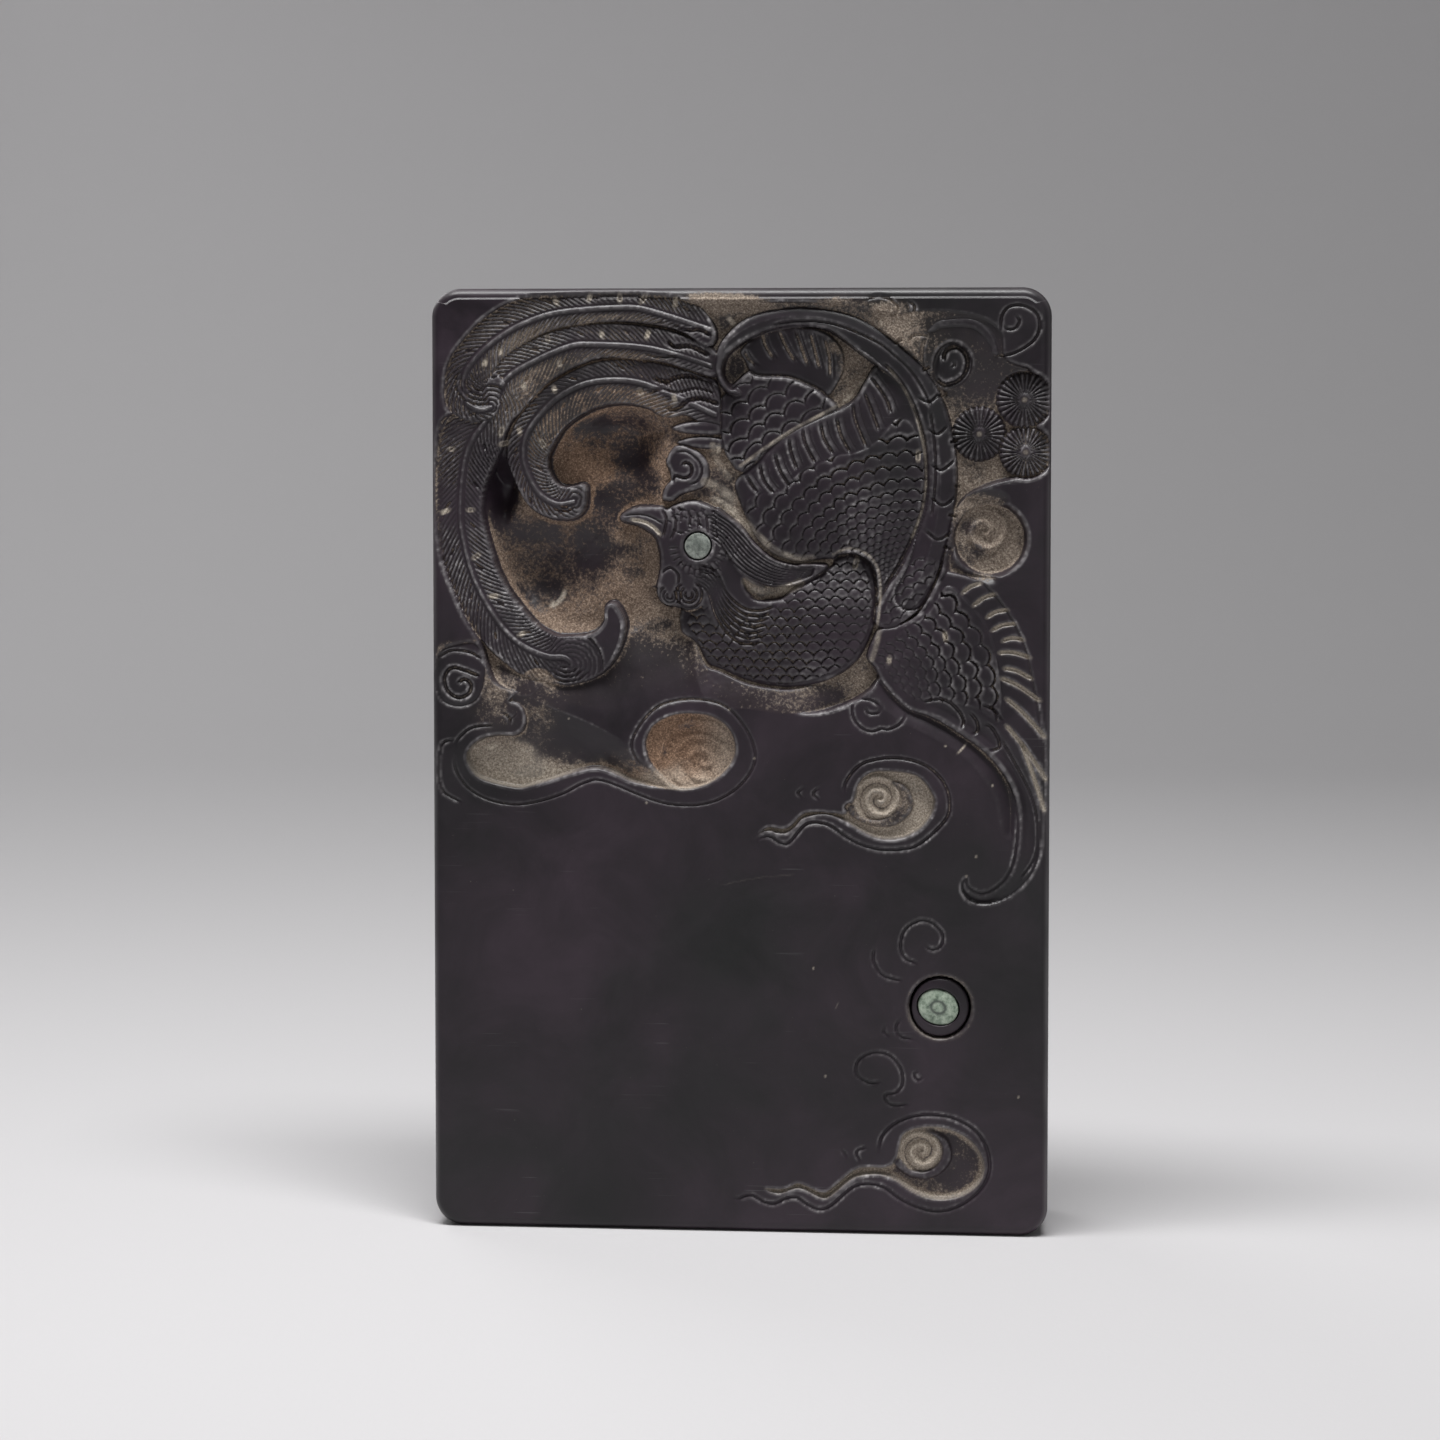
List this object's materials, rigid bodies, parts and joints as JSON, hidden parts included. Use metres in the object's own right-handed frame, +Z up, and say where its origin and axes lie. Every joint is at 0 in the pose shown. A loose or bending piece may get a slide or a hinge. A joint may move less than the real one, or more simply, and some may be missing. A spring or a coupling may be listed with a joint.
{
  "type": "ink stone",
  "caption": "Upright rectangular carved ink stone with a flat grinding face, sunk phoenix-and-cloud relief, deep ink pool and green inlaid eyes.",
  "frame": {"origin": "centre of the short end that the slab stands on, at the middle of its thickness", "axes": "+Z up along the long side, -Y out of the carved and ground face, +X to the right as seen on that face"},
  "size_m": [0.128, 0.028, 0.196],
  "materials": {
    "stone": "satin, rubbed smooth",
    "bead": "polished",
    "eye_green": "polished, pale grey-green"
  },
  "bodies": {
    "root": {"stone_body": "stone", "phoenix_eye": "eye_green", "pearl_bead": "bead", "pearl_eye": "eye_green"}
  },
  "joints": []
}
